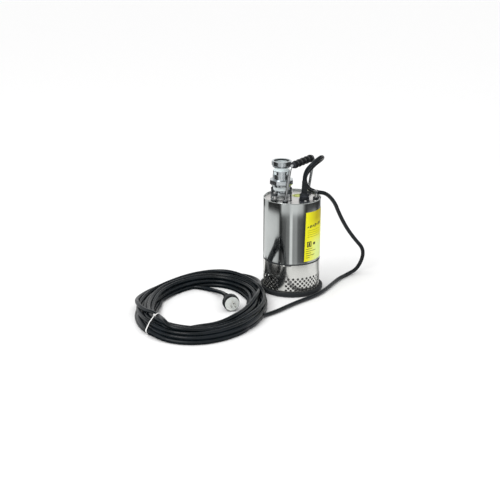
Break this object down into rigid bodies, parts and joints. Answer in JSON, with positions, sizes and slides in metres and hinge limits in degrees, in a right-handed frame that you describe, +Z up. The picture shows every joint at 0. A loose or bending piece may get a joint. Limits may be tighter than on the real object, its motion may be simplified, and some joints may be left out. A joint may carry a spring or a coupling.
{
  "type": "submersible sump pump",
  "caption": "Portable submersible drainage pump: steel casing over a strainer, flanged top outlet with hose adapter, carrying handle, and a long cable coiled with its plug.",
  "frame": {"origin": "where the pump's axis meets the floor, at the bottom of the rubber base ring", "axes": "+Z up along the pump's axis, +X towards the side that the cable and the label are on, -Y the front that faces the strainer's notch"},
  "size_m": [0.7286, 0.6555, 0.4508],
  "materials": {
    "black_rubber": "matt",
    "stainless_shell": "polished",
    "stainless_hardware": "machined",
    "chrome_handle": "polished",
    "cast_aluminium": "satin, cast and machined",
    "wear_plastic": "moulded",
    "seal_carbon": "lapped",
    "seal_ceramic": "lapped",
    "bearing_steel": "ground",
    "cage_plastic": "moulded",
    "lamination_steel": "stacked sheet",
    "copper_winding": "enamelled",
    "inner_plastic": "moulded",
    "gland_black": "moulded",
    "label_yellow": "printed film",
    "sticker_yellow_green": "printed film",
    "cable_rubber": "matt sheath",
    "tie_white": "moulded",
    "plug_grey": "moulded",
    "plug_brass": "polished"
  },
  "bodies": {
    "root": {"base_ring": "black_rubber", "handle_grip": "black_rubber", "cable_boot": "black_rubber", "gland_grommet": "black_rubber", "lip_seal": "black_rubber", "lid_o_ring": "black_rubber", "joint_gasket": "black_rubber", "flange_gasket": "black_rubber", "adapter_gasket": "black_rubber", "outer_casing": "stainless_shell", "strainer": "stainless_shell", "lid": "stainless_shell", "base_plate": "stainless_hardware", "suction_cover_screws": "stainless_hardware", "tie_rods": "stainless_hardware", "tie_rod_washers": "stainless_hardware", "tie_rod_nuts": "stainless_hardware", "flange_studs": "stainless_hardware", "flange_nuts": "stainless_hardware", "handle_nuts": "stainless_hardware", "gland_screws": "stainless_hardware", "oil_plug": "stainless_hardware", "handle_rod": "chrome_handle", "discharge_flange": "cast_aluminium", "hose_adapter": "cast_aluminium", "motor_cover": "cast_aluminium", "motor_cap": "cast_aluminium", "motor_housing": "cast_aluminium", "oil_housing": "cast_aluminium", "suction_cover": "wear_plastic", "volute": "wear_plastic", "seal_seat": "seal_ceramic", "bearing_outer_races": "bearing_steel", "stator_core": "lamination_steel", "stator_windings": "copper_winding", "capacitor": "inner_plastic", "thermal_protector": "inner_plastic", "cable_conduit": "inner_plastic", "gland_body": "gland_black", "gland_nut": "gland_black", "label": "label_yellow", "rotation_sticker": "sticker_yellow_green", "power_cable": "cable_rubber", "cable_tail": "cable_rubber", "cable_coil": "cable_rubber", "plug_body": "cable_rubber", "coil_tie": "tie_white", "plug_face": "plug_grey", "plug_blades": "plug_brass"},
    "rotor": {"shaft": "stainless_hardware", "rotor_core": "lamination_steel", "impeller": "wear_plastic", "impeller_nut": "stainless_hardware", "impeller_key": "stainless_hardware", "seal_ring": "seal_carbon", "bearing_inner_races": "bearing_steel"},
    "cage": {"bearing_balls": "bearing_steel", "bearing_cages": "cage_plastic"}
  },
  "joints": [
    {"name": "rotor_spin", "type": "hinge", "parent": "root", "child": "rotor", "pos_m": [0, 0, 0.19], "axis": [0, 0, 1], "continuous": true},
    {"name": "cage_spin", "type": "hinge", "parent": "root", "child": "cage", "pos_m": [0, 0, 0.19], "axis": [0, 0, 1], "continuous": true}
  ],
  "couplings": [
    {"joint": "cage_spin", "follows": "rotor_spin", "ratio": 0.3821}
  ]
}
